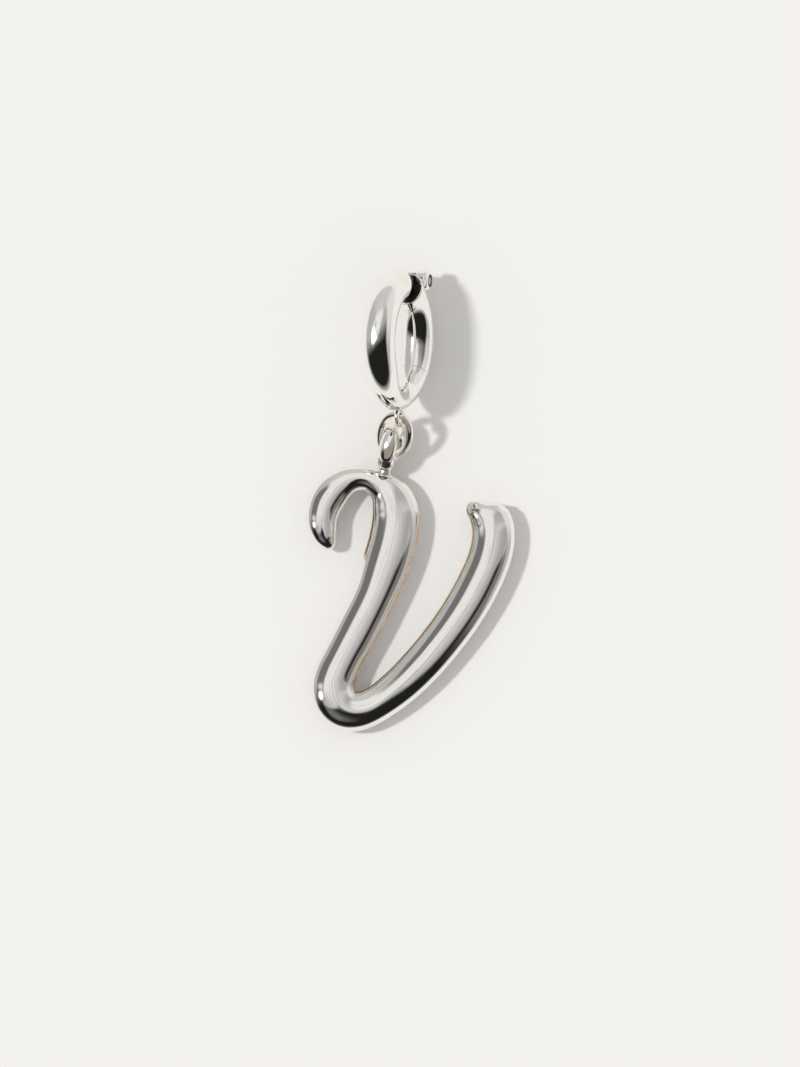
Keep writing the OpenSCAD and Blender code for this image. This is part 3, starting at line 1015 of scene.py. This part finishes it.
def set_studio():
    """Pale surroundings with a dark side; a plain pale light where they aren't seen in the polish."""
    world = bpy.data.worlds.new("studio")
    world.use_nodes = True
    nodes = Nodes(world.node_tree)
    side, lean, deep = rounds(nodes, nodes.add("ShaderNodeTexCoord", out="Generated"))
    stripe = stripe_share(side, lean)
    light = pale_light(side, lean) * (1 - stripe) + STRIPE * stripe
    dark = dark_share(side, lean, deep)
    light = light * (1 - dark) + BLACK * dark
    mirrored = nodes.add("ShaderNodeLightPath", out="Is Glossy Ray")
    light = light * mirrored + FLOOR_FILL * (1 - mirrored)
    background = world.node_tree.nodes["Background"]
    nodes.feed(light, background.inputs["Strength"])
    background.inputs["Color"].default_value = (*PALE_TINT, 1)
    bpy.context.scene.world = world


def card(name, pieces, where, face, size, glow, colour=PALE_TINT):
    """A far reflector, in metres, that only these pieces mirror; glow gives its light by direction."""
    light = bpy.data.lights.new(name, "AREA")
    light.shape = "RECTANGLE"
    light.size, light.size_y = size
    light.energy = math.pi * size[0] * size[1]
    light.color = colour
    light.use_nodes = True
    nodes = Nodes(light.node_tree)
    spot = nodes.add("ShaderNodeNewGeometry", out="Position")
    way = nodes.add("ShaderNodeVectorMath", {"operation": "NORMALIZE"}, {"Vector": spot})
    emission = light.node_tree.nodes["Emission"]
    nodes.feed(glow(*rounds(nodes, way)), emission.inputs["Strength"])
    lamp = bpy.data.objects.new(name, light)
    lamp.location = where
    lamp.rotation_euler = Vector(face).to_track_quat("Z", "Y").to_euler()
    lamp.visible_camera = False
    lamp.visible_diffuse = False
    bpy.context.scene.collection.objects.link(lamp)
    group = bpy.data.collections.new(name)
    for piece in pieces:
        group.objects.link(bpy.data.objects[piece])
    lamp.light_linking.receiver_collection = group


def letter_grey(side, lean, deep):
    """Grey over the letter down to the black band, and a crisper edge over the zenith."""
    end = sum(side.step(first, last) * gain for first, last, gain in GREY_GAINS) + GREY_END
    end = end + (1 - side.step(*GREY_LEFT)) * GREY_LEFT_GAIN
    over = (1 - (lean - end).step(*GREY_SOFT)) * (1 - side.step(*GREY_RIGHT_END))
    grey = GREY - lean.step(*GREY_LESS_LEAN) * GREY_LESS
    dim = deep.step(*CROWN_EDGE)
    sheen = side.between(*SHEEN_SPAN) * lean.between(*SHEEN_LEAN) * SHEEN
    return dark_share(side, lean, deep) * (grey * over * dim + CROWN * (1 - dim) + sheen)


def letter_taupe(side, lean, deep):
    """Below the black band: taupe, and paler still just above the floor on the stem's side."""
    taupe = side.between(*TAUPE_SPAN) * lean.step(*TAUPE_EDGE)
    paler = side.step(*TAUPE_MORE_SIDE) * lean.step(*TAUPE_MORE_LEAN) * TAUPE_MORE
    return dark_share(side, lean, deep) * taupe * (TAUPE + paler)


def glare(at_side, at_lean, wide, high, bright):
    """A small bright spot of light with a soft edge; places and sizes in degrees."""
    def glow(side, lean, deep):
        across = (side - at_side) * (sin(at_lean) / wide)
        along = (lean - at_lean) * (1 / high)
        away = (across * across + along * along).math("SQRT")
        return (1 - away.step(*GLARE_EDGE)) * bright
    return glow


def clasp_fill(side, lean, deep):
    """Fills the stripe on the clasp, which only the letter shows."""
    stripe = stripe_share(side, lean)
    return stripe * (pale_light(side, lean) - STRIPE) * (1 - dark_share(side, lean, deep))


def dark_fill(bright):
    """Lifts the dark side."""
    def glow(side, lean, deep):
        return dark_share(side, lean, deep) * bright
    return glow


def set_cards():
    """The reflectors. Two that share a plane would hide each other, so each has its own distance."""
    stroke = ("letter_stroke",)
    links = ("letter_loop", "letter_collar", "ring", "hoop_eye")
    clasp = ("hoop_fixed", "hoop_gate", *links)
    ears = ("hinge_ear_near", "hinge_ear_far")
    up, right, left = (0, 0, 1), (1, 0, 0), (-1, 0, 0)
    card("grey_card", stroke, where=(0.7, -0.1, 1), face=up, size=(3.4, 2.4), glow=letter_grey)
    card("taupe_card", stroke, where=(1, -0.45, 0.7), face=right, size=(1.3, 1.5), glow=letter_taupe,
         colour=(1, 0.94, 0.87))
    card("letter_glare", stroke, where=(-1, 0.1, 0.9), face=left, size=(1.6, 1.2),
         glow=glare(at_side=-77, at_lean=50, wide=2.6, high=6.5, bright=3.0))
    card("letter_gleam", stroke, where=(-1.05, 0.1, 0.9), face=left, size=(1.6, 1.2),
         glow=glare(at_side=-89, at_lean=48, wide=2.6, high=9, bright=0.6))
    card("clasp_glare", clasp, where=(-0.6, 0.1, 1), face=up, size=(1.0, 1.0),
         glow=glare(at_side=-98, at_lean=31, wide=6.5, high=12, bright=4.0))
    card("clasp_fill", clasp, where=(-1, 0.3, 1.1), face=left, size=(2.2, 1.8), glow=clasp_fill)
    card("link_fill", links, where=(0.4, -0.6, 1.1), face=up, size=(3.0, 3.0),
         glow=dark_fill(bright=0.32), colour=(1, 0.89, 0.78))
    card("ear_fill", ears, where=(0.4, -0.6, 1), face=up, size=(3.0, 3.0), glow=dark_fill(bright=0.7))


set_camera()
lay_floor()
set_key_light()
set_studio()
set_cards()
